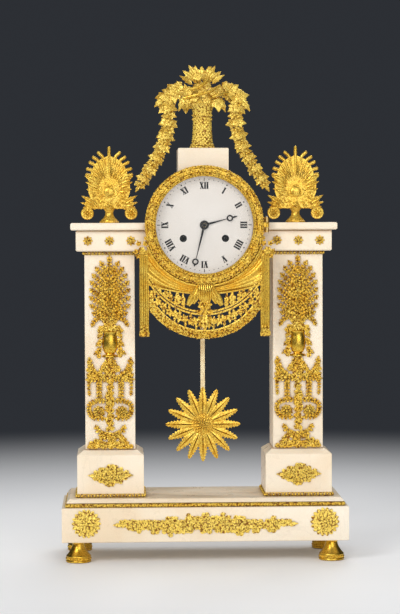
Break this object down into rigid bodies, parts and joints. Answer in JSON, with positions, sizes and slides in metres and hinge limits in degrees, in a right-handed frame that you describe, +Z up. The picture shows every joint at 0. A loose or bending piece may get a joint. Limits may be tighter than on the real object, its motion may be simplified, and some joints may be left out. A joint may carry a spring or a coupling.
{
  "type": "portico clock",
  "caption": "Marble portico clock with gilt mounts: square pillars carry a drum movement with enamel dial, pierced drapery, flower basket and sunburst pendulum.",
  "frame": {"origin": "under the middle of the base, on the surface that the feet stand on", "axes": "+Z up, +X to the right seen from the front, the dial faces -Y"},
  "size_m": [0.3, 0.1146, 0.5225],
  "materials": {
    "marble": "polished",
    "gilt_bronze": "matt and burnished gilding",
    "case_brass": "lacquered",
    "movement_brass": "polished",
    "steel": "brushed",
    "blackened_steel": "black",
    "bell_metal": "turned",
    "enamel": "gloss",
    "glass": "clear"
  },
  "bodies": {
    "case": {"base_plinth": "marble", "feet": "gilt_bronze", "step_moulding": "gilt_bronze", "base_step": "marble", "base_garland": "gilt_bronze", "base_rosettes": "gilt_bronze", "left_pedestal": "marble", "right_pedestal": "marble", "pedestal_beadings": "gilt_bronze", "pedestal_mounts": "gilt_bronze", "left_shaft": "marble", "right_shaft": "marble", "shaft_mounts": "gilt_bronze", "capital_beadings": "gilt_bronze", "left_capital": "marble", "right_capital": "marble", "cornices": "marble", "capital_rosettes": "gilt_bronze", "attic_block": "marble", "tie_rods": "steel", "drum_bolts": "steel", "left_palmette": "gilt_bronze", "right_palmette": "gilt_bronze", "flower_basket": "gilt_bronze", "bouquet": "gilt_bronze", "garlands": "gilt_bronze", "drapery": "gilt_bronze", "drum_case": "case_brass", "dial": "enamel", "hinge_pins": "steel", "front_plate": "movement_brass", "back_plate": "movement_brass", "back_cock": "movement_brass", "bell": "bell_metal", "bell_stand": "steel"},
    "bezel": {"bezel": "gilt_bronze", "bezel_glass": "glass"},
    "rear_door": {"rear_door": "case_brass", "rear_door_glass": "glass"},
    "pendulum": {"pendulum_rod": "movement_brass", "sunburst_bob": "gilt_bronze"},
    "anchor": {"anchor": "steel"},
    "minute_hand": {"minute_hand": "blackened_steel", "cannon_pinion": "movement_brass"},
    "minute_wheel": {"minute_wheel": "movement_brass"},
    "hour_hand": {"hour_hand": "blackened_steel", "hour_wheel": "movement_brass"},
    "escape_wheel": {"escape_wheel": "movement_brass"},
    "third_wheel": {"third_wheel": "movement_brass"},
    "centre_wheel": {"centre_wheel": "movement_brass"},
    "intermediate_wheel": {"intermediate_wheel": "movement_brass"},
    "going_barrel": {"going_barrel": "movement_brass"},
    "going_arbor": {"going_arbor": "steel"},
    "strike_arbor": {"strike_arbor": "steel"},
    "fly": {"fly": "steel"},
    "warning_wheel": {"warning_wheel": "movement_brass"},
    "pin_wheel": {"pin_wheel": "movement_brass"},
    "count_wheel": {"count_wheel": "movement_brass"},
    "strike_barrel": {"strike_barrel": "movement_brass"},
    "hammer": {"hammer": "steel"}
  },
  "joints": [
    {"name": "bezel_hinge", "type": "hinge", "parent": "case", "child": "bezel", "pos_m": [0.0649, -0.048, 0.3522], "axis": [0, 0, 1], "range_deg": [0, 95]},
    {"name": "rear_door_hinge", "type": "hinge", "parent": "case", "child": "rear_door", "pos_m": [0.0614, 0.048, 0.3522], "axis": [0, 0, -1], "range_deg": [0, 95]},
    {"name": "pendulum_swing", "type": "hinge", "parent": "case", "child": "pendulum", "pos_m": [0, 0, 0.3873], "axis": [0, 1, 0], "range_deg": [-4, 4]},
    {"name": "anchor_rock", "type": "hinge", "parent": "case", "child": "anchor", "pos_m": [0, 0, 0.3873], "axis": [0, 1, 0], "range_deg": [-4, 4]},
    {"name": "minute_set", "type": "hinge", "parent": "case", "child": "minute_hand", "pos_m": [0, 0, 0.3522], "axis": [0, 1, 0], "continuous": true},
    {"name": "minute_wheel_turn", "type": "hinge", "parent": "case", "child": "minute_wheel", "pos_m": [0, 0, 0.3642], "axis": [0, 1, 0], "continuous": true},
    {"name": "hour_turn", "type": "hinge", "parent": "case", "child": "hour_hand", "pos_m": [0, 0, 0.3522], "axis": [0, 1, 0], "continuous": true},
    {"name": "escape_turn", "type": "hinge", "parent": "case", "child": "escape_wheel", "pos_m": [0, 0, 0.3738], "axis": [0, 1, 0], "continuous": true},
    {"name": "third_turn", "type": "hinge", "parent": "case", "child": "third_wheel", "pos_m": [-0.0114, 0, 0.36561], "axis": [0, 1, 0], "continuous": true},
    {"name": "centre_turn", "type": "hinge", "parent": "case", "child": "centre_wheel", "pos_m": [0, 0, 0.3522], "axis": [0, 1, 0], "continuous": true},
    {"name": "intermediate_turn", "type": "hinge", "parent": "case", "child": "intermediate_wheel", "pos_m": [0.01714, 0, 0.36017], "axis": [0, 1, 0], "continuous": true},
    {"name": "going_barrel_turn", "type": "hinge", "parent": "case", "child": "going_barrel", "pos_m": [0.022, 0, 0.3382], "axis": [0, 1, 0], "continuous": true},
    {"name": "fly_turn", "type": "hinge", "parent": "case", "child": "fly", "pos_m": [-0.00997, 0, 0.38962], "axis": [0, 1, 0], "continuous": true},
    {"name": "warning_turn", "type": "hinge", "parent": "case", "child": "warning_wheel", "pos_m": [-0.01483, 0, 0.3812], "axis": [0, 1, 0], "continuous": true},
    {"name": "pin_wheel_turn", "type": "hinge", "parent": "case", "child": "pin_wheel", "pos_m": [-0.02352, 0, 0.37391], "axis": [0, 1, 0], "continuous": true},
    {"name": "count_wheel_turn", "type": "hinge", "parent": "case", "child": "count_wheel", "pos_m": [-0.02591, 0, 0.36036], "axis": [0, 1, 0], "continuous": true},
    {"name": "strike_barrel_turn", "type": "hinge", "parent": "case", "child": "strike_barrel", "pos_m": [-0.022, 0, 0.3382], "axis": [0, 1, 0], "continuous": true},
    {"name": "going_wind", "type": "hinge", "parent": "case", "child": "going_arbor", "pos_m": [0.022, 0, 0.3382], "axis": [0, 1, 0], "range_deg": [0, 1800]},
    {"name": "strike_wind", "type": "hinge", "parent": "case", "child": "strike_arbor", "pos_m": [-0.022, 0, 0.3382], "axis": [0, 1, 0], "range_deg": [0, 1800]},
    {"name": "hammer_lift", "type": "hinge", "parent": "case", "child": "hammer", "pos_m": [-0.0365, 0, 0.3722], "axis": [0, 1, 0], "range_deg": [0, 12]}
  ],
  "couplings": [
    {"joint": "anchor_rock", "follows": "pendulum_swing", "ratio": 1},
    {"joint": "minute_wheel_turn", "follows": "minute_set", "ratio": -0.33333},
    {"joint": "hour_turn", "follows": "minute_set", "ratio": 0.083333},
    {"joint": "third_turn", "follows": "escape_turn", "ratio": -0.083333},
    {"joint": "centre_turn", "follows": "escape_turn", "ratio": 0.0083333},
    {"joint": "intermediate_turn", "follows": "escape_turn", "ratio": -0.0013889},
    {"joint": "going_barrel_turn", "follows": "escape_turn", "ratio": 0.00017361},
    {"joint": "fly_turn", "follows": "warning_turn", "ratio": -8},
    {"joint": "pin_wheel_turn", "follows": "warning_turn", "ratio": -0.125},
    {"joint": "count_wheel_turn", "follows": "warning_turn", "ratio": 0.012821},
    {"joint": "strike_barrel_turn", "follows": "warning_turn", "ratio": -0.0016026}
  ]
}
